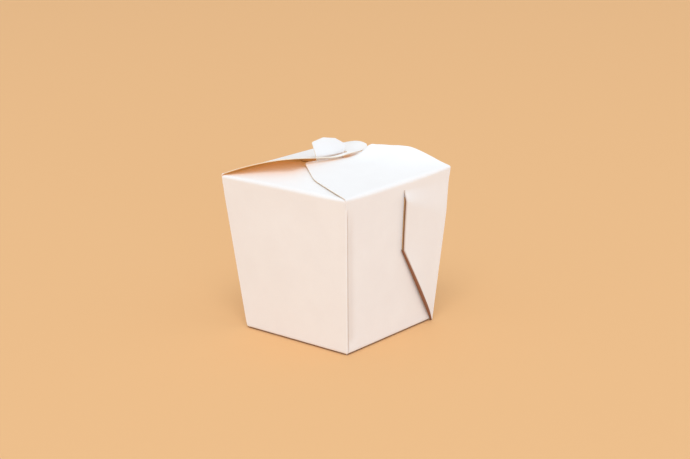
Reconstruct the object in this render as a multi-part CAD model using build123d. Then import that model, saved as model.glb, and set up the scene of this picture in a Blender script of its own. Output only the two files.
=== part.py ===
from build123d import *

import os
from math import atan, cos, radians, sin, sqrt, tan

# Takeout food box folded from one sheet of coated board, without a handle.
# Origin at the middle of the base, +Z up. The front wall faces -Y, the wall with the
# open corner web faces +X, and the slotted lid flap is hinged on the rim at -X.

# Sheet and body
board = 0.45
base_side = 80.0
rim_height = 97.0
wall_lean = 8.7
corner_radius = 0.8

# Folds at the rim
fold_start = 5.8
minor_fold_radius = 2.4
tab_fold_radius = 1.5
corner_notch = 0.6

# Corner webs on the end walls: crease from the base corner to the knee, then a free edge
knee_height = 54.7
knee_offset = 5.0
slit_top_offset = 3.9
web_corner_radius = 1.2
web_gap = 0.18
web_strip_rise = 8.0

# Front and back flaps: lift is the height of the free edge, bow the crown between
minor_flap_length = 42.0
minor_flap_inset = 15.0
minor_corner_radius = 6.0
minor_drop = 0.45
minor_end_drop = 0.8
front_lift = 3.65
front_bow = 1.35
front_skew = 0.8
back_lift = 0.5
back_bow = 0.4

# Right-hand flap with the locking tab
tab_flap_length = 57.6
tab_flap_straight = 35.2
tab_flap_middle_width = 71.2
tab_flap_end_width = 36.4
tab_flap_side_radius = 30.0
tab_flap_corner_radius = 5.4
tab_flap_lift = 5.6
arch_height = 7.9
arch_span = 51.7
arch_start = 22.5
arch_full = -32.7

# Locking tab
tab_neck_width = 22.4
tab_head_width = 30.5
tab_top_width = 9.0
tab_shoulder_rise = 10.3
tab_rise = 13.8
tab_lean = 10.0
tab_tilt = 8.0
tab_bend_radius = 0.8
tab_corner_radius = 1.0

# Left-hand flap with the slot, whose middle is slot_margin short of the free edge
slot_margin = 6.5
slotted_flap_inset = 15.5
slotted_corner_radius = 5.0
slotted_bow = 1.0
slot_clearance = 1.6
slot_end_clearance = 0.8
slot_shift_out = 0.6
slot_shift_back = 0.6
hinge_clearance = 0.3

# Height of the slotted flap's free edge above the rim: one corner stands up and the
# sheet relaxes across to the other
edge_rise_middle = 7.9
edge_rise_front = 13.9
edge_rise_back = 8.6
edge_rise_span = 38.8
edge_rise_flatness = 7.2

lean = atan(wall_lean / rim_height)
board_across = board / cos(lean)
base_half = base_side / 2
rim_half = base_half + wall_lean
wall_top = rim_height - fold_start


def half_width(height):
    """Distance from the middle to the outer face of a wall at a height."""
    return base_half + height * tan(lean)


def minor_height(rise, across, skew):
    """A flap held at its fold and low at its two ends. skew moves the crown sideways."""
    place = across / rim_half
    crown = (1 - place**2) * (1 + skew * place)
    return crown * rise - minor_drop - minor_end_drop * place**16


def front_height(inward, across):
    """Front flap: rises to its free edge under the tab flap, higher towards -X."""
    share = inward / minor_flap_length
    rise = front_lift * share + 4 * front_bow * share * (1 - share)
    return minor_height(rise, across, front_skew)


def back_height(inward, across):
    """Back flap: bowed up between the rim and its free edge."""
    share = inward / minor_flap_length
    rise = back_lift * share + 4 * back_bow * share * (1 - share)
    return minor_height(rise * (1 - (across / rim_half) ** 2), across, 0)


def tab_flap_height(inward, across):
    """Tab flap, with across counted towards the front: arched along its back edge."""
    ramp = max(0.0, (across - arch_start) / (arch_full - arch_start))
    share = inward / arch_span
    arch = arch_height * 27 / 4 * share**2 * (1 - share)
    return tab_flap_lift * inward / tab_flap_length + ramp**2 * arch


def tab_place(height):
    """How far inward the middle of the tab's board stands at a height over the rim."""
    end = tab_flap_height(tab_flap_length, 0)
    reach = tab_flap_length + (tab_bend_radius + board / 2) / cos(radians(tab_lean))
    return reach + (height - end - tab_bend_radius) * tan(radians(tab_lean))


slotted_flap_length = 2 * rim_half - tab_place(edge_rise_middle) + slot_margin


def edge_rise(across):
    """Free edge of the slotted flap: a cubic through its two corners and its middle."""
    place = across / edge_rise_span
    twist = (edge_rise_back - edge_rise_front) / 2
    curl = (edge_rise_back + edge_rise_front) / 2 - edge_rise_middle
    relax = edge_rise_flatness * place * (place**2 - 1) / 2
    return edge_rise_middle + twist * place + curl * place**2 + relax


def slotted_height(inward, across):
    """Slotted flap: straight rise to its free edge, with a slight bow."""
    share = inward / slotted_flap_length
    return edge_rise(across) * share + 4 * slotted_bow * share * (1 - share)


def slope(height, inward, across):
    step = 0.01
    return (height(inward + step, across) - height(inward, across)) / step


def stations(half_span):
    """Places along a fold at which a flap's section is drawn."""
    shares = (0.3, 0.6, 0.85, 1.0)
    return [-half_span * s for s in reversed(shares)] + [0.0] + [half_span * s for s in shares]


def surface_points(height, across, start, stop, offset):
    """Points and end directions of a flap's section, moved square to the sheet."""
    count = 5
    points = []
    angles = []
    for i in range(count):
        inward = start + (stop - start) * i / (count - 1)
        angle = atan(slope(height, inward, across))
        angles.append(angle)
        points.append((inward - offset * sin(angle), height(inward, across) + offset * cos(angle)))
    return points, angles[0], angles[-1]


def section_wire(edges, across):
    """Section drawn as (inward, up) and set at its place along the fold."""
    made = []
    for kind, points, tangents in edges:
        placed = [Vector(x, across, z + rim_height) for x, z in points]
        if kind == "line":
            made.append(Line(*placed))
        elif kind == "arc":
            made.append(ThreePointArc(*placed))
        else:
            ends = [Vector(x, 0, z) for x, z in tangents]
            made.append(Spline(*placed, tangents=ends))
    return Wire(made)


def turned_up_end(end, pitch):
    """Edges of a tab that bends up from the end of a flap and leans on inward."""
    tip = radians(tab_lean)
    centre = (end[0] - tab_bend_radius * sin(pitch), end[1] + tab_bend_radius * cos(pitch))
    low = radians(-90) + pitch
    high = -tip

    def on_bend(size, direction, rise):
        x = centre[0] + size * cos(direction) + rise * sin(tip)
        return (x, centre[1] + size * sin(direction) + rise * cos(tip))

    def bend(size):
        return [on_bend(size, a, 0) for a in (low, (low + high) / 2, high)]

    near = bend(tab_bend_radius)
    far = bend(tab_bend_radius + board)
    top = 2 * tab_rise
    near_top = on_bend(tab_bend_radius, high, top)
    far_top = on_bend(tab_bend_radius + board, high, top)
    return [
        ("arc", near, None),
        ("line", [near[-1], near_top], None),
        ("line", [near_top, far_top], None),
        ("line", [far_top, far[-1]], None),
        ("arc", far[::-1], None),
    ]


def folded_section(height, across, length, radius, turned_up):
    """Wall stub, round fold and flap, as one closed strip of board."""
    inward = radius
    for _ in range(6):
        angle = atan(slope(height, inward, across))
        bend_z = height(inward, across) - radius * (sin(lean) + cos(angle))
        inward = -bend_z * tan(lean) + radius * (cos(lean) - sin(angle))
    bend_x = -bend_z * tan(lean)
    centre = (bend_x + radius * cos(lean), bend_z + radius * sin(lean))

    def on_fold(size, direction):
        return (centre[0] + size * cos(direction), centre[1] + size * sin(direction))

    wall_side = radians(180) + lean
    flap_side = radians(90) + angle
    middle = (wall_side + flap_side) / 2
    inner_radius = radius - board
    outer, _, end_angle = surface_points(height, across, inward, length, 0)
    inner, _, _ = surface_points(height, across, inward, length, -board)
    first = (cos(angle), sin(angle))
    last = (cos(end_angle), sin(end_angle))
    back = [(-last[0], -last[1]), (-first[0], -first[1])]
    foot = (fold_start * tan(lean), -fold_start)
    inner_foot = (foot[0] + board_across, foot[1])
    outer[0] = on_fold(radius, flap_side)
    inner[0] = on_fold(inner_radius, flap_side)
    free_end = [("line", [outer[-1], inner[-1]], None)]
    if turned_up:
        free_end = turned_up_end(outer[-1], end_angle)
        inner[-1] = free_end[-1][1][-1]
    edges = [
        ("line", [foot, on_fold(radius, wall_side)], None),
        ("arc", [on_fold(radius, a) for a in (wall_side, middle, flap_side)], None),
        ("spline", outer, [first, last]),
        *free_end,
        ("spline", inner[::-1], back),
        ("arc", [on_fold(inner_radius, a) for a in (flap_side, middle, wall_side)], None),
        ("line", [on_fold(inner_radius, wall_side), inner_foot], None),
        ("line", [inner_foot, foot], None),
    ]
    return section_wire(edges, across)


def hinged_section(across):
    """Slotted flap: half-round edge about the hinge line, then the sheet."""
    half = board / 2
    top, first_angle, last_angle = surface_points(
        slotted_height, across, 0, slotted_flap_length, half
    )
    under, _, _ = surface_points(slotted_height, across, 0, slotted_flap_length, -half)
    first = (cos(first_angle), sin(first_angle))
    last = (cos(last_angle), sin(last_angle))
    back = [(-last[0], -last[1]), (-first[0], -first[1])]
    nose = (-half * cos(first_angle), -half * sin(first_angle))
    edges = [
        ("spline", top, [first, last]),
        ("line", [top[-1], under[-1]], None),
        ("spline", under[::-1], back),
        ("arc", [under[0], nose, top[0]], None),
    ]
    return section_wire(edges, across)


def trapezoid(length, inset, radius):
    """Plan of a flap with sides that lean in and round free corners."""
    wide = rim_half - corner_notch
    narrow = wide - length * tan(radians(inset))
    depth = 2 * wide
    plan = make_face(
        Polyline((-depth, -wide), (0, -wide), (length, -narrow), (length, narrow), (0, wide),
                 (-depth, wide), close=True)
    )
    return fillet(plan.vertices().group_by(Axis.X)[-1], radius)


def tab_flap_plan():
    """Plan of the tab flap: gentle taper, then long shoulders down to the tab."""
    wide = rim_half - corner_notch
    middle = tab_flap_middle_width / 2
    end = tab_flap_end_width / 2
    depth = 2 * wide
    right = [(-depth, wide), (0, wide), (tab_flap_straight, middle), (tab_flap_length, end)]
    left = [(x, -y) for x, y in reversed(right)]
    plan = make_face(Polyline(*right, *left, close=True))
    ends = plan.vertices().group_by(Axis.X)[-1]
    plan = fillet(ends, tab_flap_corner_radius)
    shoulders = plan.vertices().filter_by(lambda v: abs(v.X - tab_flap_straight) < 0.01)
    return fillet(shoulders, tab_flap_side_radius)


def upright(plan):
    """Everything over and under a plan, as far as the flaps reach."""
    reach = rim_height / 2
    return extrude(Plane.XY.offset(rim_height - reach) * plan, 2 * reach)


def place_flap(flap, turn):
    """Turn a flap drawn with +X inward so that its fold lies on the rim."""
    return Rot(0, 0, turn) * (Pos(-rim_half, 0, 0) * flap)


def folded_flap(height, length, radius, outline, turned_up=False):
    """A flap that stays joined to its wall, drawn with +X inward and cut to an outline."""
    wires = [folded_section(height, y, length, radius, turned_up) for y in stations(rim_half)]
    return Solid.make_loft(wires) & outline


def leaning_block(low, inset, radius):
    """Solid with the lean of the walls and round upright edges."""
    bottom = 2 * (half_width(low) - inset)
    top = 2 * (half_width(wall_top) - inset)
    sections = [
        Plane.XY.offset(low) * Rectangle(bottom, bottom),
        Plane.XY.offset(wall_top) * Rectangle(top, top),
    ]
    block = loft(sections, ruled=True)
    uprights = block.edges().filter_by(lambda e: abs(e.tangent_at(0).Z) > 0.5)
    return fillet(uprights, radius)


def walls():
    """Base and four leaning walls, open at the top."""
    outside = leaning_block(0, 0, corner_radius)
    return outside - leaning_block(board, board_across, corner_radius - board / 2)


def hinge_wall():
    """Left wall's strip above the other folds, up to just below the hinge line."""
    top = rim_height - board / 2 - hinge_clearance
    wide = 2 * (rim_half - corner_notch)
    low = -half_width(wall_top)
    high = -half_width(top)
    side = Polyline(
        (low, wall_top), (high, top), (high + board_across, top), (low + board_across, wall_top), close=True
    )
    return extrude(Plane.XZ * make_face(side), wide / 2, both=True)


def end_wall_plane():
    """Outer face of the wall at +X: x along +Y, y up the wall, z outwards."""
    return Plane(origin=(base_half, 0, 0), x_dir=(0, 1, 0), z_dir=(cos(lean), 0, -sin(lean)))


def web_outline(side, edge_inset):
    """Outline of a folded web on the end wall, from the base corner to the fold line."""
    top = (wall_top - 0.5 * board) / cos(lean)
    bead = board + web_gap
    corner = base_half - edge_inset
    run = corner - knee_offset
    length = sqrt(run**2 + knee_height**2)
    knee = (knee_offset - bead * knee_height / length, knee_height - bead * run / length)
    foot = 0.5 * board
    points = [
        (corner, foot),
        (knee[0] + run / knee_height * (knee[1] - foot), foot),
        knee,
        (knee_offset, knee_height),
        (slit_top_offset, top),
        (corner + top * sin(lean), top),
    ]
    outline = make_face(Polyline(*[(side * x, y) for x, y in points], close=True))
    slit_top = outline.vertices().sort_by_distance((side * slit_top_offset, top, 0))[0]
    return fillet(slit_top, web_corner_radius)


def corner_web(side):
    """Web folded in half along its crease. side 1 lies outside the wall, -1 inside."""
    plane = end_wall_plane()
    run = base_half - knee_offset
    length = sqrt(run**2 + knee_height**2)
    along = Vector(side * -run / length, knee_height / length)
    across = Vector(side * knee_height / length, run / length)
    face_gap = web_gap if side > 0 else board + web_gap
    reach = 2 * rim_height
    low = face_gap
    high = face_gap + 2 * board + web_gap
    middle = (low + high) / 2
    outer_radius = (high - low) / 2
    inner_radius = web_gap / 2
    hairpin = Wire([
        Line((reach, high), (0, high)),
        ThreePointArc((0, high), (-outer_radius, middle), (0, low)),
        Line((0, low), (reach, low)),
        Line((reach, low), (reach, low + board)),
        Line((reach, low + board), (0, low + board)),
        ThreePointArc((0, low + board), (-inner_radius, middle), (0, high - board)),
        Line((0, high - board), (reach, high - board)),
        Line((reach, high - board), (reach, high)),
    ])
    knee = plane.from_local_coords(Vector(side * knee_offset, knee_height))
    origin = plane.from_local_coords(Vector(0, 0))
    far = knee + (plane.from_local_coords(along) - origin) * rim_height
    across_dir = plane.from_local_coords(across) - origin
    along_dir = plane.from_local_coords(along) - origin
    start = Plane(origin=far, x_dir=across_dir, z_dir=along_dir * -1)
    folded = extrude(start * Face(hairpin), rim_height + length + 5 * board)
    edge_inset = 0.5 * board
    outline = plane * web_outline(side, edge_inset)
    return folded & extrude(outline, 10 * board, both=True)


def web_strip():
    """Back wall carried round the corner to the outer half of the web."""
    stack = web_gap * 2 + 2 * board
    top = (wall_top - 0.5 * board) / cos(lean)
    plane = Plane(origin=(0, base_half, 0), x_dir=(1, 0, 0), z_dir=(0, -cos(lean), sin(lean)))
    inner = board_across

    def edge(height, out):
        return (base_half + height * sin(lean) + out, height)

    points = [edge(0, -inner), edge(0, 0), edge(web_strip_rise, stack), edge(top, stack), edge(top, -inner)]
    return extrude(plane * make_face(Polyline(*points, close=True)), board)


def tab_outline():
    """What is kept of the turned-up strip: a neck and a wider head with sloping top."""
    root = 1.5 * board
    foot_height = rim_height + tab_flap_height(tab_flap_length, 0)
    view = Plane(
        origin=(tab_flap_length - root, 0, foot_height), x_dir=(0, 1, 0), z_dir=(1, 0, 0)
    )
    neck = tab_neck_width / 2
    head = tab_head_width / 2
    crown = tab_top_width / 2
    neck_top = tab_shoulder_rise - tab_flap_lift
    below = -2 * tab_rise
    right = [(neck, below), (neck, neck_top / 2), (head, tab_shoulder_rise), (crown, tab_rise)]
    left = [(-x, y) for x, y in reversed(right)]
    outline = make_face(Polyline(*right, *left, close=True))
    outline = fillet(outline.vertices().filter_by(lambda v: v.Y > neck_top), tab_corner_radius)
    outline = Pos(0, neck_top) * (Rot(0, 0, tab_tilt) * (Pos(0, -neck_top) * outline))
    return extrude(view * outline, rim_half / 2)


def make_carton():
    pieces = [hinge_wall()]
    for web in (corner_web(1), web_strip(), corner_web(-1)):
        pieces += [web, mirror(web, about=Plane.YZ)]
    plan = trapezoid(minor_flap_length, minor_flap_inset, minor_corner_radius)
    front = folded_flap(front_height, minor_flap_length, minor_fold_radius, upright(plan))
    back = folded_flap(back_height, minor_flap_length, minor_fold_radius, upright(plan))
    outline = upright(tab_flap_plan()) + tab_outline()
    right = folded_flap(tab_flap_height, tab_flap_length, tab_fold_radius, outline, True)
    pieces += [place_flap(front, 90), place_flap(back, -90), place_flap(right, 180)]
    return walls() + pieces


def make_slotted_flap():
    wires = [hinged_section(y) for y in stations(rim_half)]
    plan = trapezoid(slotted_flap_length, slotted_flap_inset, slotted_corner_radius)
    from_left = 2 * rim_half - tab_place(edge_rise_middle)
    slot_x = 2 * rim_half - tab_place(slotted_height(from_left, 0)) + slot_shift_out
    wide = board + 2 * slot_clearance
    long = tab_head_width + 2 * slot_end_clearance
    outline = Pos(slot_x, slot_shift_back) * SlotOverall(long, wide, rotation=90)
    slot = extrude(outline, 2 * rim_height)
    return place_flap((Solid.make_loft(wires) & upright(plan)) - slot, 0)


os.makedirs("parts", exist_ok=True)
export_step(make_carton(), "parts/carton.step")
export_step(make_slotted_flap(), "parts/slotted_flap.step")
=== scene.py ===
import bpy
import numpy as np
from math import atan, cos, pi, radians, sin, sqrt, tan
from mathutils import Matrix, Vector


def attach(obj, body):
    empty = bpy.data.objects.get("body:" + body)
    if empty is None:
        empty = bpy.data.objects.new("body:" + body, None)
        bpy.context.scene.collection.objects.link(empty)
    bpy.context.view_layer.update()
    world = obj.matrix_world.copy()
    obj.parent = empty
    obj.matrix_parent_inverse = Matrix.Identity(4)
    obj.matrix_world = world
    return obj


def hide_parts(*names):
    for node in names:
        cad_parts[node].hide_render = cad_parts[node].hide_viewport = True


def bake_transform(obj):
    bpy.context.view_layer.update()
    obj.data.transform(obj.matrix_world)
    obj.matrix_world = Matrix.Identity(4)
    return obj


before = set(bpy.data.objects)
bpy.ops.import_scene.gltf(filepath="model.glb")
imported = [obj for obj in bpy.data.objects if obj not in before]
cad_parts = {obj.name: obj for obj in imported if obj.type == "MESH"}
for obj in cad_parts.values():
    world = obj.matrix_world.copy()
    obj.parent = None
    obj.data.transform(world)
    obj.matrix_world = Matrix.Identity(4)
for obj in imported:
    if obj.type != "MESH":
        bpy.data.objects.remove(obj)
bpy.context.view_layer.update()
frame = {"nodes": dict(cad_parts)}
print("frame loaded:", ", ".join(frame["nodes"]))

# lengths in this file are millimetres, and meshes are written in metres
metre = 0.001

# the folded sheet as a whole; the other pieces take their places from it
carton = {
    "board": 0.45, "baseSide": 80.0, "rimHeight": 97.0, "wallLean": 8.7,
    "cornerRadius": 0.6, "bottomRadius": 2.0, "foldStart": 5.8,
}
board = carton["board"]
rim = carton["rimHeight"]
lean = atan(carton["wallLean"] / rim)
baseHalf = carton["baseSide"] / 2
rimHalf = baseHalf + carton["wallLean"]
wallTop = rim - carton["foldStart"]

coated, kraft, cutEdge = 0, 1, 2
sharpAngle = radians(38.0)


def unit(vectors):
    return vectors / np.maximum(np.linalg.norm(vectors, axis=-1, keepdims=True), 1e-12)


def gridNormals(grid, wrap=False):
    # square to both directions of the grid: step along a row crossed with step up a column
    across = (np.roll(grid, -1, 1) - np.roll(grid, 1, 1)) if wrap else np.gradient(grid, axis=1)
    return unit(np.cross(across, np.gradient(grid, axis=0)))


def gridQuads(rows, cols, wrap=False):
    # point numbers of every quad of a grid that is stored row by row
    row, col = np.meshgrid(np.arange(rows - 1), np.arange(cols if wrap else cols - 1), indexing="ij")
    row, col = row.ravel(), col.ravel()
    following = (col + 1) % cols
    return np.stack([row * cols + col, row * cols + following,
                     (row + 1) * cols + following, (row + 1) * cols + col], axis=1)


def seamQuads(outerLine, innerLine):
    return np.stack([outerLine[:-1], innerLine[:-1], innerLine[1:], outerLine[1:]], axis=1)


def sheet(outer, thickness=board, wrap=False, wear=None, inner=None, sides=(cutEdge, cutEdge)):
    # closed strip of board: the outer grid, the same grid moved in by the thickness, and its edges.
    # sides holds the materials of the edges along the first and the last column.
    rows, cols = outer.shape[:2]
    if inner is None:
        inner = outer - gridNormals(outer, wrap) * thickness
    count = rows * cols
    quads = gridQuads(rows, cols, wrap)
    ids = np.arange(count).reshape(rows, cols)
    lines = [ids[0], ids[-1][::-1]]
    if wrap:
        lines = [np.append(line, line[0]) for line in lines]
    else:
        lines += [ids[::-1, 0], ids[:, -1]]
    edges = np.concatenate([seamQuads(line, line + count) for line in lines])
    edgeKinds = np.full(len(edges), cutEdge)
    if not wrap:
        first, last = (np.broadcast_to(kind, rows - 1) for kind in sides)
        edgeKinds[2 * (cols - 1):] = np.concatenate([first[::-1], last])
    faces = np.concatenate([quads, quads[:, ::-1] + count, edges])
    kinds = np.concatenate([np.full(len(quads), coated), np.full(len(quads), kraft), edgeKinds])
    flatWear = np.zeros(count) if wear is None else np.broadcast_to(wear, (rows, cols)).ravel()
    return {
        "points": np.concatenate([outer.reshape(-1, 3), inner.reshape(-1, 3)]),
        "faces": faces, "kinds": kinds, "wear": np.concatenate([flatWear, flatWear]),
    }


def makePiece(name, sheets, glow=0.0):
    # one object from several closed strips. glow is how strongly its kraft faces give off a painted glow,
    # by emission.
    starts = np.cumsum([0] + [len(s["points"]) for s in sheets])
    points = np.concatenate([s["points"] for s in sheets]) * metre
    faces = np.concatenate([s["faces"] + start for s, start in zip(sheets, starts)])
    mesh = bpy.data.meshes.new(name)
    mesh.from_pydata(points.tolist(), [], faces.tolist())
    kinds = np.concatenate([s["kinds"] for s in sheets])
    mesh.polygons.foreach_set("material_index", kinds.astype(np.int32))
    mesh.polygons.foreach_set("use_smooth", np.ones(len(faces), dtype=bool))
    wear = mesh.attributes.new("foldWearAndShade", "FLOAT", "POINT")
    wear.data.foreach_set("value", np.concatenate([s["wear"] for s in sheets]).astype(np.float32))
    through = mesh.attributes.new("paintedGlowShare", "FLOAT", "POINT")
    through.data.foreach_set("value", np.full(len(points), glow, dtype=np.float32))
    mesh.set_sharp_from_angle(angle=sharpAngle)
    mesh.update()
    piece = bpy.data.objects.new(name, mesh)
    bpy.context.scene.collection.objects.link(piece)
    return piece


def turned(grid, degrees):
    # quarter turns about the upright axis
    angle = radians(degrees)
    spin = np.array([[cos(angle), -sin(angle), 0], [sin(angle), cos(angle), 0], [0, 0, 1]])
    return grid @ spin.T


def bump(x, centre, width):
    return np.exp(-(((x - centre) / width) ** 2))


# four walls

walls = {
    "columns": 150, "cornerColumns": 7, "rows": 90, "bulge": 0.4, "sideBulge": 0.08,
    "bead": 0.30, "beadWidth": 0.6,
    # grooveShade and dipShade set how much painted shade lies in the groove and the dip; shadeTopLoss
    # weakens it upwards
    "groove": 0.45, "grooveAt": 1.35, "grooveWidth": 0.75, "grooveShade": 0.9,
    "grooveTopFade": 14, "grooveFootFade": 20,
    "dip": 0.35, "dipAt": 4.2, "dipWidth": 3.0, "dipShade": 0.24,
    "dipTopFade": 6, "dipFoot": 5.5, "dipFootFade": 4,
    "shadeTopLoss": 0.3, "faintShade": 0.02,
    "wornCorner": 0.5, "wornFoot": 0.6, "shadedFoot": 0.9, "footRows": 9,
}


def wallRing():
    # rounded square that widens with height. Each wall swells by bulge x (1 - t^2) x 16 v^2 (1 - v)^2,
    # t across the wall and v up it. Beside the front corners the end walls carry a bead at the fold,
    # a narrow groove exp(-((s - at) / width)^2) and a wider shallow dip, s counted from the corner.
    radius = carton["cornerRadius"]
    low = carton["bottomRadius"]
    share = np.linspace(0, 1, walls["rows"])
    quarter = np.linspace(0, pi / 2, walls["footRows"])[:-1]
    height = np.concatenate([low * (1 - np.cos(quarter)), low + (wallTop - low) * share])
    inset = np.concatenate([low * (1 - np.sin(quarter)), np.zeros(len(share))])
    half = (baseHalf + height * tan(lean) - inset)[:, None]
    spread = np.sin(np.linspace(-pi / 2, pi / 2, walls["columns"]))[None, :]
    along = spread * (half - radius)
    corner = np.linspace(0, pi / 2, walls["cornerColumns"] + 2)[1:-1][None, :]
    up = (height / wallTop)[:, None]
    belly = (1 - spread**2) * 16 * up**2 * (1 - up) ** 2
    fade = np.clip((1 - up) * walls["grooveTopFade"], 0, 1) * np.clip(up * walls["grooveFootFade"], 0, 1)
    dipUp = np.clip((height[:, None] - walls["dipFoot"]) / walls["dipFootFade"], 0, 1)
    dipFade = np.clip((1 - up) * walls["dipTopFade"], 0, 1) * dipUp
    sides = []
    paintedShades = []
    for number in range(4):
        fromFront = {1: along + half, 3: half - along}.get(number)
        out = half + walls["sideBulge" if number % 2 else "bulge"] * belly
        arcOut = np.zeros((len(height), corner.shape[1]))
        crease = np.zeros_like(along)
        if fromFront is not None:
            narrow = bump(fromFront, walls["grooveAt"], walls["grooveWidth"])
            wide = bump(fromFront, walls["dipAt"], walls["dipWidth"])
            out = out + walls["bead"] * bump(fromFront, radius, walls["beadWidth"]) * fade
            out = out - walls["groove"] * narrow * fade
            out = out - walls["dip"] * wide * dipFade
            # painted shade in the groove and the dip beside the front corners
            crease = walls["grooveShade"] * narrow * fade + walls["dipShade"] * wide * dipFade
            crease = crease * (1 - walls["shadeTopLoss"] * up)
        if number == 0:
            arcOut = arcOut + walls["bead"] * np.sin(corner) ** 2 * fade
        if number == 3:
            arcOut = arcOut + walls["bead"] * np.cos(corner) ** 2 * fade
        straight = np.stack([along, -out, np.broadcast_to(height[:, None], along.shape)], axis=-1)
        arcX = (half - radius) + (radius + arcOut) * np.sin(corner)
        arcY = -(half - radius) - (radius + arcOut) * np.cos(corner)
        arc = np.stack([arcX, arcY, np.broadcast_to(height[:, None], arcX.shape)], axis=-1)
        sides.append(turned(np.concatenate([straight, arc], axis=1), 90 * number))
        paintedShades.append(np.concatenate([crease, 0 * arcOut], axis=1))
    ring = np.concatenate(sides, axis=1)
    fromCorner = np.maximum(np.abs(np.abs(ring[..., 0]) - half), np.abs(np.abs(ring[..., 1]) - half))
    worn = np.exp(-fromCorner / walls["wornCorner"]) + np.exp(-height[:, None] / walls["wornFoot"])
    crease = np.concatenate(paintedShades, axis=1)
    # painted shade where the groove and dip shade passes the faint limit, real wear at the corners and
    # the foot elsewhere
    wear = np.where(crease > walls["faintShade"], -crease, np.clip(worn, 0, 1))
    strip = sheet(ring, wrap=True, wear=wear)
    # painted contact shadow: the underside of the bottom folds takes the kraft material mixed fully to
    # its painted shade colour
    rowLength = ring.shape[1]
    foot = int(np.sum(height < walls["shadedFoot"]))
    strip["kinds"][:(foot - 1) * rowLength] = kraft
    strip["wear"][:foot * rowLength] = -1.0
    return strip


def baseSheet():
    # flat square inside the bottom folds
    half = baseHalf - carton["bottomRadius"]
    place = np.linspace(-half, half, 12)
    x, y = np.meshgrid(place, place[::-1])
    return sheet(np.stack([x, y, np.zeros_like(x)], axis=-1))


# lid flaps

minorFlap = {
    "length": 42.0, "inset": 15.0, "cornerRadius": 6.0, "notch": 0.7, "tuck": 0.5,
    "foldRadius": 2.4, "cornerFold": 1.3, "drop": 0.3, "endDrop": 0.4,
    "frontLift": 4.3, "frontBow": 2.6, "frontSkew": 0.3, "backLift": 0.5, "backBow": 0.4,
    "rest": 0.15, "restEase": 0.4, "restFrom": 6.0, "clearSlope": 0.5,
}
tabFlap = {
    "length": 56.9, "straight": 35.2, "middleWidth": 71.2, "endWidth": 38.0, "sideRadius": 30.0,
    "cornerRadius": 7.2, "foldRadius": 2.6, "cornerFold": 1.2, "lift": 5.5, "endTwist": 0.10,
    "archStart": 22.5, "archFull": -32.7,
    "archPlaces": (0.0, 6.3, 12.2, 17.5, 24.0, 30.0, 35.8, 40.4, 42.7,
                   44.5, 46.5, 48.0, 50.0, 52.0, 53.5, 57.6, 60.0),
    "archRises": (0.0, 0.7, 1.75, 2.9, 4.4, 5.2, 6.1, 8.3, 9.8,
                  11.4, 11.2, 9.3, 5.8, 2.7, 0.0, -4.0, -6.0),
}
slottedFlap = {
    "length": 44.77, "inset": 15.5, "cornerRadius": 5.0, "bow": 1.0, "foldRadius": 1.2, "notch": 0.6,
    "edgePlaces": (-60.0, -38.8, -27.8, -17.3, -7.2, 1.5, 5.5, 11.0, 15.5, 21.0, 27.0, 31.0, 36.0, 49.0),
    "edgeRises": (17.2, 13.7, 12.0, 10.2, 8.45, 6.95, 6.5, 6.35, 6.4, 6.3, 6.0, 6.3, 7.6, 10.5),
    "backBow": 2.6, "backFrom": 34.0,
    "slotWidth": 3.3, "slotLength": 33.4, "slotFromHinge": 39.75, "slotShift": 3.2,
    "cutBelow": 5.0, "cutAbove": 30.0, "hingeStrip": 3.0,
}


def minorHeight(rise, across, skew):
    # rise x (1 - p^2) x (1 + skew p), less a drop that grows with p^16; p runs from -1 to 1 across
    place = across / rimHalf
    crown = (1 - place**2) * (1 + skew * place)
    return crown * rise - minorFlap["drop"] - minorFlap["endDrop"] * place**16


def backHeight(inward, across):
    share = inward / minorFlap["length"]
    rise = minorFlap["backLift"] * share + 4 * minorFlap["backBow"] * share * (1 - share)
    return minorHeight(rise * (1 - (across / rimHalf) ** 2), across, 0)


def smoothCurve(x, places, heights):
    # cubic pieces h00 y0 + h10 m0 + h01 y1 + h11 m1 through the points, with slopes from their neighbours
    places, heights = np.array(places), np.array(heights)
    slopes = np.gradient(heights, places)
    number = np.clip(np.searchsorted(places, x, side="right") - 1, 0, len(places) - 2)
    width = places[number + 1] - places[number]
    t = np.clip((x - places[number]) / width, 0, 1)
    rise = (2 * t**3 - 3 * t**2 + 1) * heights[number] + (3 * t**2 - 2 * t**3) * heights[number + 1]
    return rise + width * ((t**3 - 2 * t**2 + t) * slopes[number] + (t**3 - t**2) * slopes[number + 1])


def tabFlapHeight(inward, across):
    # even rise to the free edge, an arch along it that grows with ramp^5 towards the back, and a
    # twist of the free end that grows with share^6
    start = tabFlap["archStart"]
    ramp = np.maximum(0.0, (across - start) / (tabFlap["archFull"] - start))
    arch = smoothCurve(inward, tabFlap["archPlaces"], tabFlap["archRises"])
    share = inward / tabFlap["length"]
    return tabFlap["lift"] * share + ramp**5 * arch + tabFlap["endTwist"] * across * share**6


def frontHeight(inward, across):
    # free shape where nothing lies on it, else just under the tab flap, eased between the two as
    # (a + b - sqrt((a - b)^2 + e^2)) / 2
    share = inward / minorFlap["length"]
    rise = minorFlap["frontLift"] * share + 4 * minorFlap["frontBow"] * share * (1 - share)
    free = minorHeight(rise, across, minorFlap["frontSkew"])
    under = tabFlapHeight(np.minimum(rimHalf + across, tabFlap["length"]), rimHalf - inward) - board
    past = np.maximum(across - (tabFlap["length"] - rimHalf), 0)
    under = under - minorFlap["rest"] + past * minorFlap["clearSlope"]
    difference = np.sqrt((free - under) ** 2 + minorFlap["restEase"] ** 2)
    smooth = (free + under - difference) / 2
    return np.where(across > minorFlap["restFrom"] - rimHalf, smooth, np.minimum(free, under))


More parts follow.
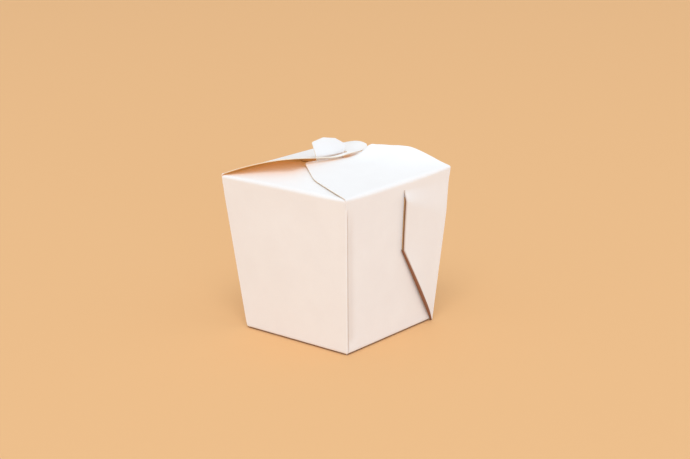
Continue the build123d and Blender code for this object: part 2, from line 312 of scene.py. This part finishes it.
def slottedHeight(inward, across):
    # even rise to a twisted free edge, which curls up at its back corner, plus a slight bow. Towards
    # the back edge the bow becomes edge x backBow x share^3 (1 - share).
    edge = smoothCurve(across, slottedFlap["edgePlaces"], slottedFlap["edgeRises"])
    share = inward / slottedFlap["length"]
    even = 4 * slottedFlap["bow"] * share * (1 - share)
    late = edge * slottedFlap["backBow"] * share**3 * (1 - share)
    nearBack = np.clip(across / slottedFlap["backFrom"], 0, 1) ** 2
    return edge * share + even + (late - even) * nearBack


def outlineWidth(inward, places, widths, radii):
    # half width of a flap: straight runs between the places, each corner rounded by a tangent arc
    width = np.interp(inward, places, widths)
    headings = [atan((b - a) / (q - p)) for p, q, a, b in zip(places, places[1:], widths, widths[1:])]
    headings.append(-pi / 2)
    for i, radius in enumerate(radii):
        before, after = headings[i], headings[i + 1]
        reach = radius * tan((before - after) / 2)
        start = places[i + 1] - reach * cos(before)
        centreIn = start + radius * sin(before)
        centreWide = widths[i + 1] - reach * sin(before) - radius * cos(before)
        onArc = (inward >= start) & (inward <= places[i + 1] + reach * cos(after) + 1e-9)
        arc = centreWide + np.sqrt(np.maximum(radius**2 - (inward - centreIn) ** 2, 0))
        width = np.where(onArc, arc, width)
    return width


def taperedOutline(length, inset, radius, notch):
    wide = rimHalf - notch
    return lambda inward: outlineWidth(
        inward, (0, length), (wide, wide - length * tan(radians(inset))), (radius,))


def tabFlapOutline(inward):
    places = (0, tabFlap["straight"], tabFlap["length"])
    widths = (rimHalf, tabFlap["middleWidth"] / 2, tabFlap["endWidth"] / 2)
    return outlineWidth(inward, places, widths, (tabFlap["sideRadius"], tabFlap["cornerRadius"]))


def slopeAngle(height, inward, across):
    step = 0.01
    return np.arctan((height(inward + step, across) - height(inward, across)) / step)


folding = {
    "columns": 90, "flapRows": 90, "arcRows": 14, "wallRows": 6,
    "crowd": 0.35, "cornerDrop": 0.3, "wornFrom": 2.0, "wornFlap": 1.5,
}


def foldedGrid(height, outline, length, radius, cornerFold, tuck=0.0, columns=folding["columns"]):
    # up the wall, round an arc that is tangent to the wall and to the flap, then along the flap.
    # Every point is scaled across by the outline's half width at its own place, and below the rim
    # the strip ends flush with the leaning corners. The fold is sharper at its two ends, where the
    # columns crowd.
    crowd = folding["crowd"]
    evenSide = np.linspace(1, -1, columns)
    side = np.sin(evenSide * pi / 2) * crowd + evenSide * (1 - crowd)
    radius = cornerFold + (radius - cornerFold) * (1 - side[None, :] ** 4)
    wallRows, arcRows, flapRows = folding["wallRows"], folding["arcRows"], folding["flapRows"]
    onWall = np.linspace(0, 1, wallRows + 1)[:-1, None]
    onArc = np.linspace(0, 1, arcRows + 1)[:-1, None]
    even = np.linspace(0, 1, flapRows)[:, None]
    onFlap = 0.5 * even + 0.5 * np.sin(even * pi / 2)
    rows = wallRows + arcRows + flapRows
    across = np.ones((rows, 1)) * side[None, :] * outline(np.zeros(1))[0]
    foot = np.array([carton["foldStart"] * tan(lean), -carton["foldStart"]])
    for _ in range(5):
        inward = np.broadcast_to(radius, across.shape)
        for _ in range(6):
            angle = slopeAngle(height, inward, across)
            bendZ = height(inward, across) - radius * (sin(lean) + np.cos(angle))
            inward = -bendZ * tan(lean) + radius * (cos(lean) - np.sin(angle))
        bendX = -bendZ * tan(lean)
        turn = pi + lean + (pi / 2 + angle - pi - lean) * np.concatenate(
            [np.zeros((wallRows, 1)), onArc, np.ones((flapRows, 1))])
        arcX = bendX + radius * (cos(lean) + np.cos(turn))
        arcZ = bendZ + radius * (sin(lean) + np.sin(turn))
        flapX = inward[-flapRows:] + (length - inward[-flapRows:]) * onFlap
        wallX = foot[0] + (bendX[:wallRows] - foot[0]) * onWall
        wallZ = foot[1] + (bendZ[:wallRows] - foot[1]) * onWall
        x = np.concatenate([wallX, arcX[wallRows:-flapRows], flapX])
        z = np.concatenate([wallZ, arcZ[wallRows:-flapRows], height(flapX, across[-flapRows:])])
        flush = rimHalf - tuck + np.minimum(z + folding["cornerDrop"], 0) * tan(lean)
        across = side[None, :] * np.minimum(outline(x), flush)
    onward = flapX.mean(axis=1, keepdims=True) - folding["wornFrom"]
    foldShare = np.concatenate([
        np.zeros((wallRows, 1)), np.sin(onArc * pi) ** 0.5, np.exp(-onward / folding["wornFlap"])])
    ends = np.where(np.arange(rows - 1) < wallRows + arcRows + 1, coated, cutEdge)
    return np.stack([x, across, z + rim], axis=-1), foldShare, ends


def placed(grid, degrees):
    # a flap drawn with +X inward from its rim line, set on its own side of the box
    return turned(grid - np.array([rimHalf, 0, 0]), degrees)


def flapSheet(height, outline, form, degrees, tuck=0.0):
    grid, wear, ends = foldedGrid(
        height, outline, form["length"], form["foldRadius"], form["cornerFold"], tuck)
    return sheet(placed(grid, degrees), wear=wear, sides=(ends, ends))


# locking tab at the end of the right-hand flap

tab = {
    "aside": 4.9, "neckWidth": 25.0, "headWidth": 32.0, "topWidth": 11.0,
    "shoulderRise": 8.6, "rise": 11.9, "lean": 10.0, "tilt": 12.5, "cornerRadius": 1.0,
    "bendRadius": 0.8, "legStart": 1.2, "bendRows": 9, "shadedRows": 3, "rows": 40, "columns": 40,
}


def tabSheet():
    # a quarter bend up from the flap's end, then a flat neck that widens to a head with sloping
    # shoulders. The rows crowd towards the top of the head.
    end = tabFlap["length"]
    tip = radians(tab["lean"])
    neckTop = tab["shoulderRise"] - tabFlap["lift"]
    side = np.linspace(-1, 1, tab["columns"])[None, :]
    turnShare = np.linspace(0, 1, tab["bendRows"])[:-1, None]
    even = np.linspace(0, 1, tab["rows"])[:, None]
    start = tab["bendRadius"] * tab["legStart"]
    rise = start + (tab["rise"] - start) * (0.4 * even + 0.6 * np.sin(even * pi / 2))
    places = (start, neckTop / 2, tab["shoulderRise"], tab["rise"])
    widths = tuple(tab[key] / 2 for key in ("neckWidth", "neckWidth", "headWidth", "topWidth"))
    half = outlineWidth(rise, places, widths, (0.0, tab["cornerRadius"], tab["cornerRadius"]))
    tilt = radians(tab["tilt"])
    legAcross = side * half * cos(tilt) - (rise - neckTop) * sin(tilt) * np.clip(rise / neckTop, 0, 1)
    legRise = neckTop + side * half * sin(tilt) + (rise - neckTop) * cos(tilt)
    legRise = np.where(rise < neckTop, rise + side * half * sin(tilt) * (rise / neckTop) ** 2, legRise)
    bendAcross = side * half[:1] * np.ones_like(turnShare)
    foot = rim + tabFlapHeight(end, 0.0)
    across = np.concatenate([bendAcross, legAcross]) - tab["aside"]
    pitch = slopeAngle(tabFlapHeight, end, across)
    flapEnd = tabFlapHeight(end, across) + rim
    low = pitch - pi / 2
    high = -tip
    centreX = end - tab["bendRadius"] * np.sin(pitch)
    centreZ = flapEnd + tab["bendRadius"] * np.cos(pitch)
    bendRows = len(turnShare)
    angle = low[:bendRows] + (high - low[:bendRows]) * turnShare

    def face(radius):
        bendX = centreX[:bendRows] + radius * np.cos(angle)
        bendZ = centreZ[:bendRows] + radius * np.sin(angle)
        legZ = np.maximum(foot + legRise, centreZ[bendRows:] + radius * sin(high))
        legX = centreX[bendRows:] + radius * cos(high)
        legX = legX + (legZ - centreZ[bendRows:] - radius * sin(high)) * tan(tip)
        grid = np.stack([np.concatenate([bendX, legX]), across, np.concatenate([bendZ, legZ])], axis=-1)
        return placed(grid, 180)[:, ::-1]

    # painted shade: the bend and the first rows above it are mixed to the crease colour, for the shade
    # under the lid
    pastBend = np.arange(bendRows + tab["rows"])[:, None] - bendRows
    tabShade = -np.clip(1 - pastBend / tab["shadedRows"], 0, 1)
    return sheet(face(tab["bendRadius"]), inner=face(tab["bendRadius"] + board), wear=tabShade)


# corner webs on the two end walls

web = {
    "kneeHeight": 54.7, "kneeOffset": 5.0, "slitTop": 3.9, "gap": 0.18, "edgeInset": 0.225,
    "lift": 1.9, "kneeLift": 0.8, "topLift": 0.8, "innerLift": 0.3,
    "liftPlaces": (0, 8, 22, 38), "liftShares": (0.0, 0.75, 1.0, 0.8),
    "slitTaper": 7.0, "taper": 26.0, "thinnest": 0.04, "innerTop": 4.0, "foot": 0.45,
    "stripRise": 8.0, "stripTuck": 0.9, "stripRadius": 0.45, "stripProud": 0.01,
    "rows": 60, "columns": 40,
}


def webShare(up, fromSlit=1.0):
    # how far the web's layers stand off the wall: all of it, easing to nothing under the rim fold,
    # late beside the slit and early at the corner
    top = wallTop / cos(lean)
    near = np.clip((top - up) / (web["slitTaper"] + (web["taper"] - web["slitTaper"]) * fromSlit), 0, 1)
    return near * near * (3 - 2 * near)


def onEndWall(along, up, out):
    # along the wall, up its slope and out from it, on the wall that faces +X
    x = baseHalf + up * sin(lean) + out * cos(lean)
    return np.stack([x, along + 0 * up, up * cos(lean) - out * sin(lean)], axis=-1)


def cornerWeb(side):
    # two layers joined by a hairpin along the crease below the knee, and free edges above it.
    # side 1 lies on the wall's outside, -1 inside. The layers spring out by (1 - e)^2, e from the
    # crease to the corner, most of all low down. The hairpin and the slit edge carry painted shade, dark
    # brown, and the columns crowd towards the corner.
    knee, run = web["kneeHeight"], baseHalf - web["edgeInset"] - web["kneeOffset"]
    top = wallTop / cos(lean)
    first = web["gap"] if side > 0 else board + web["gap"]
    lifts = tuple(web["lift"] * part for part in web["liftShares"]) + (web["kneeLift"], web["topLift"])
    cornerLine = lambda up: baseHalf - web["edgeInset"] + up * sin(lean)
    sheets = []
    share = np.linspace(0, 1, web["columns"])[None, :]
    easeShare = 1 - (1 - share) ** 1.6

    def outward(start, finish, up, layer, towards):
        relative = (towards - start) / np.maximum(finish - start, 1e-6)
        spring = smoothCurve(up, web["liftPlaces"] + (knee, top), lifts)
        spring = spring * (1 - np.clip(relative, 0, 1)) ** 2 * (side > 0)
        away = webShare(up, np.clip(relative, 0, 1)) if side > 0 else 1.0
        followed = web["innerLift"] + (1 - web["innerLift"]) * layer
        return side * away * (first + layer * (board + web["gap"]) + spring * followed)

    def layerSheet(low, high, layer):
        up = np.linspace(low, high, web["rows"])[:, None] + 0 * share
        crease = web["kneeOffset"] + run * (1 - up / knee)
        slit = web["kneeOffset"] + (web["slitTop"] - web["kneeOffset"]) * (up - knee) / (top - knee)
        start = np.where(up < knee, crease, slit)
        finish = cornerLine(up)
        along = start + (finish - start) * easeShare
        face = outward(start, finish, up, layer, along)
        away = webShare(up, np.clip((along - start) / (finish - start), 0, 1))
        thick = board * side * (np.maximum(away, web["thinnest"]) if side > 0 else 1.0)
        outer = onEndWall(side * along, up, face + (thick if layer else 0))
        inner = onEndWall(side * along, up, face + (0 if layer else thick))
        if layer == 0:
            outer, inner = outer[:, ::-1], inner[:, ::-1]
        # the column at the slit carries painted shade, and its edges are kraft
        return sheet(outer, inner=inner, wear=-1.0 * (along < start + 0.01), sides=(kraft, kraft))

    def hairpin():
        up = np.linspace(web["foot"], knee, web["rows"])[:, None]
        crease = web["kneeOffset"] + run * (1 - up / knee)
        finish = cornerLine(up)
        near = outward(crease, finish, up, 0, crease)
        far = outward(crease, finish, up, 1, crease) + side * board
        turn = np.linspace(-pi / 2, pi / 2, 13)[None, :]
        middle = (near + far) / 2
        outerHalf = (far - near) / 2
        slope = np.array([knee, run]) / sqrt(knee**2 + run**2)

        def around(halfThick):
            reach = np.abs(halfThick) * np.cos(turn)
            return onEndWall(side * (crease - reach * slope[0]), up - reach * slope[1],
                             middle + halfThick * np.sin(turn))

        outer, inner = around(outerHalf), around(outerHalf - board * side)
        # the hairpin is painted shade: kraft mixed fully to its dark shade colour
        strip = sheet(outer[:, ::-1], inner=inner[:, ::-1], wear=-1.0)
        strip["kinds"] = np.full(len(strip["kinds"]), kraft)
        return strip

    for layer, layerTop in ((0, top - web["innerTop"]), (1, top)):
        sheets.append(layerSheet(web["foot"], knee, layer))
        sheets.append(layerSheet(knee, layerTop, layer))
    sheets.append(hairpin())
    return sheets


def mirrored(strip):
    # the same strip on the opposite wall
    flipped = dict(strip)
    flipped["points"] = strip["points"] * np.array([-1, 1, 1])
    flipped["faces"] = strip["faces"][:, ::-1]
    return flipped


def webStrip():
    # the back wall carried round the corner to the web's outer layer, tapering to nothing at the base:
    # flat over the first third of the columns, then a quarter turn
    top = wallTop / cos(lean)
    rise, tuck, radius = web["stripRise"], web["stripTuck"], web["stripRadius"]
    up = np.concatenate([np.linspace(0, rise, 12), np.linspace(rise, top, 60)[1:]])[:, None]
    stack = (2 * web["gap"] + 2 * board) * np.clip(up / rise, 0, 1) * webShare(up)
    share = np.linspace(0, 1, 9)[None, :]
    turn = share * pi / 2
    x = baseHalf + up * sin(lean) - tuck + (stack + tuck - radius) * np.minimum(share * 3, 1)
    x = np.where(share < 0.3, x, baseHalf + up * sin(lean) + stack - radius + radius * np.sin(turn))
    y = baseHalf + up * sin(lean) - radius * (1 - np.cos(turn)) * (share > 0.3) + web["stripProud"]
    z = up * cos(lean) + 0 * share
    grid = np.stack([x, y + 0 * x, z], axis=-1)
    return sheet(grid[:, ::-1])


print("building the carton")
cartonSheets = [wallRing(), baseSheet(), webStrip(), mirrored(webStrip())]
for webSide in (1, -1):
    for strip in cornerWeb(webSide):
        cartonSheets += [strip, mirrored(strip)]
cartonPiece = makePiece("carton_walls", cartonSheets)
minorOutline = taperedOutline(
    minorFlap["length"], minorFlap["inset"], minorFlap["cornerRadius"], minorFlap["notch"])
frontSheet = flapSheet(frontHeight, minorOutline, minorFlap, 90, minorFlap["tuck"])
backSheet = flapSheet(backHeight, minorOutline, minorFlap, -90, minorFlap["tuck"])
frontPiece = makePiece("front_flap", [frontSheet])
backPiece = makePiece("back_flap", [backSheet])
tabPiece = makePiece("tab_flap", [flapSheet(tabFlapHeight, tabFlapOutline, tabFlap, 180), tabSheet()])
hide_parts("carton")
for piece in (cartonPiece, frontPiece, backPiece, tabPiece):
    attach(piece, "carton")

print("building the slotted flap")


def slottedGrid():
    outline = taperedOutline(
        slottedFlap["length"], slottedFlap["inset"], slottedFlap["cornerRadius"], slottedFlap["notch"])
    onTop = lambda inward, across: slottedHeight(inward, across) + board / 2
    radius = slottedFlap["foldRadius"]
    return foldedGrid(onTop, outline, slottedFlap["length"], radius, radius, columns=110)


def slotCutter():
    # upright stadium: a rectangle with half-round ends
    radius = slottedFlap["slotWidth"] / 2
    straight = slottedFlap["slotLength"] / 2 - radius
    angle = np.linspace(0, 2 * pi, 49)[:-1]
    x = radius * np.cos(angle) + slottedFlap["slotFromHinge"] - rimHalf
    y = radius * np.sin(angle) + straight * np.sign(np.sin(angle) + 1e-9) + slottedFlap["slotShift"]
    count = len(angle)
    ring = np.stack([x, y], axis=-1)
    low = np.column_stack([ring, np.full(count, rim - slottedFlap["cutBelow"])])
    high = np.column_stack([ring, np.full(count, rim + slottedFlap["cutAbove"])])
    start = np.arange(count)
    following = (start + 1) % count
    walls4 = np.stack([start, following, following + count, start + count], axis=1)
    mesh = bpy.data.meshes.new("slotCutter")
    mesh.from_pydata((np.concatenate([low, high]) * metre).tolist(), [],
                     walls4.tolist() + [start[::-1].tolist(), (start + count).tolist()])
    mesh.polygons.foreach_set("material_index", np.full(count + 2, cutEdge, dtype=np.int32))
    cutter = bpy.data.objects.new("slotCutter", mesh)
    bpy.context.scene.collection.objects.link(cutter)
    return cutter


lidGrid, lidWear, lidEnds = slottedGrid()
splitRow = int(np.argmax(lidGrid[:, lidGrid.shape[1] // 2, 0] > slottedFlap["hingeStrip"]))
lidGrid = placed(lidGrid, 0)
lidInner = lidGrid - gridNormals(lidGrid) * board
# the lid's kraft underside gives off a painted glow that lights the gap beneath it
lidPiece = makePiece("slotted_lid_flap", [
    sheet(lidGrid[splitRow:], inner=lidInner[splitRow:], wear=lidWear[splitRow:])], glow=1.0)
stripPiece = makePiece("lid_fold", [
    sheet(lidGrid[:splitRow + 1], inner=lidInner[:splitRow + 1], wear=lidWear[:splitRow + 1],
          sides=(lidEnds[:splitRow], lidEnds[:splitRow]))], glow=1.0)


# materials

class Net:
    # one socket in a node tree; + and * on it add Math nodes
    def __init__(self, tree, socket=None):
        self.tree = tree
        self.socket = socket

    def join(self, target, value):
        if isinstance(value, Net):
            self.tree.links.new(value.socket, target)
        else:
            target.default_value = value

    def node(self, kind, settings=None, inputs=None, out=0):
        made = self.tree.nodes.new(kind)
        for key, value in (settings or {}).items():
            setattr(made, key, value)
        for key, value in (inputs or {}).items():
            self.join(made.inputs[key], value)
        return Net(self.tree, made.outputs[out])

    def maths(self, operation, first, second):
        return self.node("ShaderNodeMath", {"operation": operation}, {0: first, 1: second})

    def __add__(self, other):
        return self.maths("ADD", self, other)

    def __radd__(self, other):
        return self.maths("ADD", other, self)

    def __mul__(self, other):
        return self.maths("MULTIPLY", self, other)

    def mixed(self, factor, first, second):
        return self.node("ShaderNodeMix", {"data_type": "RGBA"}, {0: factor, 6: first, 7: second}, out=2)

    def ranged(self, value, low, high, toLow=0.0, toHigh=1.0):
        return self.node("ShaderNodeMapRange", {"clamp": True},
                         {0: value, 1: low, 2: high, 3: toLow, 4: toHigh})

    def noise(self, place, scale, detail=3.0, rough=0.5):
        return self.node("ShaderNodeTexNoise", {}, {
            "Vector": place, "Scale": scale, "Detail": detail, "Roughness": rough})

    def stretched(self, place, scale):
        return self.node("ShaderNodeMapping", {}, {"Vector": place, "Scale": scale})


def newMaterial(name):
    material = bpy.data.materials.new(name)
    material.use_nodes = True
    tree = material.node_tree
    shader = tree.nodes["Principled BSDF"]
    net = Net(tree)
    place = net.node("ShaderNodeTexCoord", out=3)
    return material, net, shader, place


coatFinish = {
    # crease is the colour of painted shade in creases, grooves and gaps
    "colour": (0.94, 0.93, 0.905, 1), "shade": (0.92, 0.905, 0.88, 1), "worn": (0.84, 0.80, 0.75, 1),
    "crease": (0.58, 0.46, 0.37, 1), "roughness": 0.46, "specular": 0.35,
    "fibre": 900.0, "cloud": 55.0, "grain": 5200.0, "crack": 1500.0, "bump": 0.16, "relief": 0.00012,
}


def coatedMaterial():
    # clay-coated board: nearly even white, faint clouds and fibre, a little wear along the folds.
    # The fold attribute runs from 0 to 1 at worn folds, which is real wear, and to -1 where shade is
    # painted into creases, grooves and gaps.
    material, net, shader, place = newMaterial("coatedBoard")
    cloud = net.noise(place, coatFinish["cloud"], 3.0, 0.55)
    fibre = net.noise(net.stretched(place, (1.0, 1.0, 0.45)), coatFinish["fibre"], 4.0, 0.65)
    grain = net.noise(place, coatFinish["grain"], 2.0, 0.5)
    tone = net.ranged(cloud * 0.7 + fibre * 0.3, 0.38, 0.66)
    base = net.mixed(tone, coatFinish["shade"], coatFinish["colour"])
    wear = net.node("ShaderNodeAttribute", {"attribute_name": "foldWearAndShade"}, out=2)
    crack = net.ranged(net.noise(place, coatFinish["crack"], 5.0, 0.75), 0.52, 0.66)
    worn = net.ranged(wear, 0.0, 1.0) * crack * 0.5
    # painted shade: mixed towards the crease colour where the fold attribute is negative
    creaseShaded = net.mixed(net.ranged(wear, 0.0, -1.0), base, coatFinish["crease"])
    net.join(shader.inputs["Base Color"], net.mixed(worn, creaseShaded, coatFinish["worn"]))
    net.join(shader.inputs["Roughness"], coatFinish["roughness"] + cloud * 0.08 + worn * 0.3)
    shader.inputs["Specular IOR Level"].default_value = coatFinish["specular"]
    height = fibre * 0.6 + grain * 0.4 + cloud * 0.8
    relief = net.node("ShaderNodeBump", {}, {
        "Strength": coatFinish["bump"], "Distance": coatFinish["relief"], "Height": height})
    net.join(shader.inputs["Normal"], relief)
    return material


kraftFinish = {
    "colour": (0.62, 0.37, 0.17, 1), "dark": (0.48, 0.27, 0.11, 1), "light": (0.70, 0.45, 0.23, 1),
    # the glow colour is painted light, given off by emission; shade is the colour of painted shade
    "through": (0.30, 0.130, 0.032, 1), "shade": (0.30, 0.135, 0.075, 1), "roughness": 0.82,
    "specular": 0.2, "fibre": 1400.0, "fleck": 700.0, "cloud": 90.0, "bump": 0.35, "relief": 0.00015,
}


def kraftMaterial():
    # uncoated brown side: long fibres and dark flecks, painted shade, and a painted glow by emission that
    # stands in for light through a single sheet
    material, net, shader, place = newMaterial("kraftInside")
    fibres = net.noise(net.stretched(place, (1.0, 1.0, 0.18)), kraftFinish["fibre"], 5.0, 0.7)
    flecks = net.ranged(net.noise(place, kraftFinish["fleck"], 4.0, 0.8), 0.60, 0.70)
    cloud = net.noise(place, kraftFinish["cloud"], 3.0, 0.6)
    base = net.mixed(net.ranged(fibres, 0.35, 0.65), kraftFinish["dark"], kraftFinish["light"])
    base = net.mixed(net.ranged(cloud, 0.3, 0.7, 0.45, 0.8), base, kraftFinish["colour"])
    base = net.mixed(flecks * 0.4, base, kraftFinish["dark"])
    wear = net.node("ShaderNodeAttribute", {"attribute_name": "foldWearAndShade"}, out=2)
    # painted shade: mixed towards the shade colour where the fold attribute is negative
    base = net.mixed(net.ranged(wear, 0.0, -1.0), base, kraftFinish["shade"])
    net.join(shader.inputs["Base Color"], base)
    net.join(shader.inputs["Roughness"], kraftFinish["roughness"] + fibres * 0.1)
    # painted glow: the kraft faces give off the glow colour by emission on the pieces that ask for it
    through = net.node("ShaderNodeAttribute", {"attribute_name": "paintedGlowShare"}, out=2)
    net.join(shader.inputs["Emission Color"], net.mixed(through, (0, 0, 0, 1), kraftFinish["through"]))
    shader.inputs["Emission Strength"].default_value = 1.0
    shader.inputs["Specular IOR Level"].default_value = kraftFinish["specular"]
    relief = net.node("ShaderNodeBump", {}, {
        "Strength": kraftFinish["bump"], "Distance": kraftFinish["relief"], "Height": fibres})
    net.join(shader.inputs["Normal"], relief)
    return material


edgeFinish = {
    "colour": (0.92, 0.81, 0.64, 1), "core": (0.76, 0.58, 0.38, 1), "roughness": 0.85, "specular": 0.2,
    "fibre": 4200.0, "bump": 0.3, "relief": 0.0001,
}


def edgeMaterial():
    # the cut edge of the board: cream with browner fibres
    material, net, shader, place = newMaterial("cutBoardEdge")
    fibres = net.noise(place, edgeFinish["fibre"], 3.0, 0.7)
    net.join(shader.inputs["Base Color"],
             net.mixed(net.ranged(fibres, 0.42, 0.68), edgeFinish["colour"], edgeFinish["core"]))
    net.join(shader.inputs["Roughness"], edgeFinish["roughness"] + fibres * 0.08)
    shader.inputs["Specular IOR Level"].default_value = edgeFinish["specular"]
    relief = net.node("ShaderNodeBump", {}, {
        "Strength": edgeFinish["bump"], "Distance": edgeFinish["relief"], "Height": fibres})
    net.join(shader.inputs["Normal"], relief)
    return material


print("finishing the board")
boardMaterials = [coatedMaterial(), kraftMaterial(), edgeMaterial()]
for piece in (cartonPiece, frontPiece, backPiece, tabPiece, lidPiece, stripPiece):
    for material in boardMaterials:
        piece.data.materials.append(material)

cutter = slotCutter()
for material in boardMaterials:
    cutter.data.materials.append(material)
opening = lidPiece.modifiers.new("slot", "BOOLEAN")
opening.operation = "DIFFERENCE"
opening.solver = "EXACT"
opening.object = cutter
bpy.context.view_layer.update()
cutMesh = bpy.data.meshes.new_from_object(lidPiece.evaluated_get(bpy.context.evaluated_depsgraph_get()))
lidPiece.modifiers.clear()
lidPiece.data = cutMesh
cutMesh.set_sharp_from_angle(angle=sharpAngle)
bpy.data.objects.remove(cutter)
print("slot cut,", len(cutMesh.polygons), "faces")

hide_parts("slotted_flap")
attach(lidPiece, "slotted_flap")
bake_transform(stripPiece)


# floor, light and camera

studio = {
    "floor": (0.835, 0.497, 0.235, 1), "floorSize": 12.0,
    "world": (1.0, 1.015, 1.05, 1), "worldStrength": 0.76,
    "keyPower": 236.0, "keySize": 4.0, "keyPlace": (3.2, -4.2, 6.8), "keyColour": (1.0, 1.02, 1.05),
    "fillPower": 18.0, "fillSize": 1.2, "fillPlace": (2.5, -1.7, 0.35), "fillColour": (0.45, 0.90, 1.45),
}
view = {
    "azimuth": 40.582, "elevation": 16.147, "roll": -1.003, "lens": 81.34,
    "place": (0.59182, -0.68402, 0.32190),
}


def makeFloor():
    half = studio["floorSize"] / 2
    mesh = bpy.data.meshes.new("floor")
    corners = [(-half, -half, 0), (half, -half, 0), (half, half, 0), (-half, half, 0)]
    mesh.from_pydata(corners, [], [(0, 1, 2, 3)])
    floor = bpy.data.objects.new("floor", mesh)
    bpy.context.scene.collection.objects.link(floor)
    material, _, shader, _ = newMaterial("plainFloor")
    shader.inputs["Base Color"].default_value = studio["floor"]
    shader.inputs["Roughness"].default_value = 0.9
    shader.inputs["Specular IOR Level"].default_value = 0.1
    mesh.materials.append(material)


def areaLamp(name, power, size, place, colour, aim=(0, 0, 0.05)):
    data = bpy.data.lights.new(name, "AREA")
    data.energy = power
    data.color = colour
    data.size = size
    lamp = bpy.data.objects.new(name, data)
    lamp.location = place
    lamp.rotation_euler = (Vector(aim) - Vector(place)).to_track_quat("-Z", "Y").to_euler()
    bpy.context.scene.collection.objects.link(lamp)


def makeCamera():
    # looks along the azimuth, counted from +Y, and down by the elevation, then rolls about its own axis
    az, el, roll = (radians(view[key]) for key in ("azimuth", "elevation", "roll"))
    back = Vector((sin(az) * cos(el), -cos(az) * cos(el), sin(el)))
    right = (-back).cross(Vector((0, 0, 1))).normalized()
    up = right.cross(-back)
    turnedRight = cos(roll) * right + sin(roll) * up
    turnedUp = cos(roll) * up - sin(roll) * right
    data = bpy.data.cameras.new("camera")
    data.sensor_width = 36.0
    data.lens = view["lens"]
    data.clip_start = 0.01
    camera = bpy.data.objects.new("camera", data)
    axes = Matrix((turnedRight, turnedUp, back)).transposed()
    camera.matrix_world = Matrix.Translation(view["place"]) @ axes.to_4x4()
    bpy.context.scene.collection.objects.link(camera)
    bpy.context.scene.camera = camera


print("setting the studio")
makeFloor()
for lampName in ("key", "fill"):
    areaLamp(lampName, *(studio[lampName + part] for part in ("Power", "Size", "Place", "Colour")))
makeCamera()
world = bpy.data.worlds.new("studio")
world.use_nodes = True
world.node_tree.nodes["Background"].inputs["Color"].default_value = studio["world"]
world.node_tree.nodes["Background"].inputs["Strength"].default_value = studio["worldStrength"]
bpy.context.scene.world = world
bpy.context.scene.view_settings.view_transform = "Standard"
